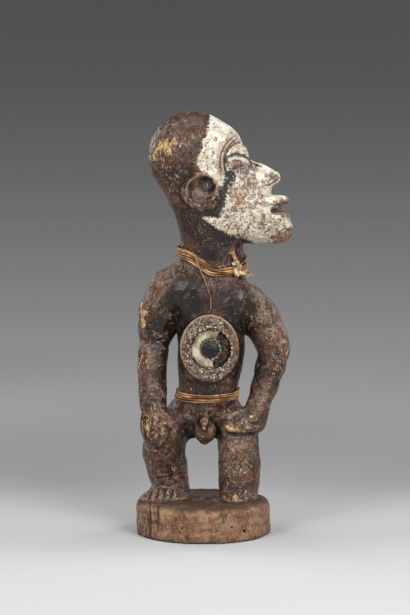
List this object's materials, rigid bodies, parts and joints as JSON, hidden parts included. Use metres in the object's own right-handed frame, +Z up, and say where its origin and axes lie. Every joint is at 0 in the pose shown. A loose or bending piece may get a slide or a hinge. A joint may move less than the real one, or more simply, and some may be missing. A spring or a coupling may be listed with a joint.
{
  "type": "power figure",
  "caption": "Standing male power figure carved in wood on a round base, head turned aside and looking up, hands on the thighs, with a glazed belly box and cord round neck and waist.",
  "frame": {"origin": "middle of the flat underside of the round base", "axes": "+Z up along the standing figure, -Y the way the chest and belly box face, +X to the figure's left, the way the turned face looks"},
  "size_m": [0.1307, 0.113, 0.3503],
  "materials": {
    "wood": "carved, darkened and handled",
    "resin": "lumpy resin, dull",
    "shell": "chalky, broken",
    "glass": "dark glass, clouded",
    "fibre": "twisted plant fibre"
  },
  "bodies": {
    "root": {"figure": "wood", "belly_charge": "resin", "belly_ring": "shell", "belly_glass": "glass", "neck_cord": "fibre", "waist_cord": "fibre", "hanging_thread": "fibre"}
  },
  "joints": []
}
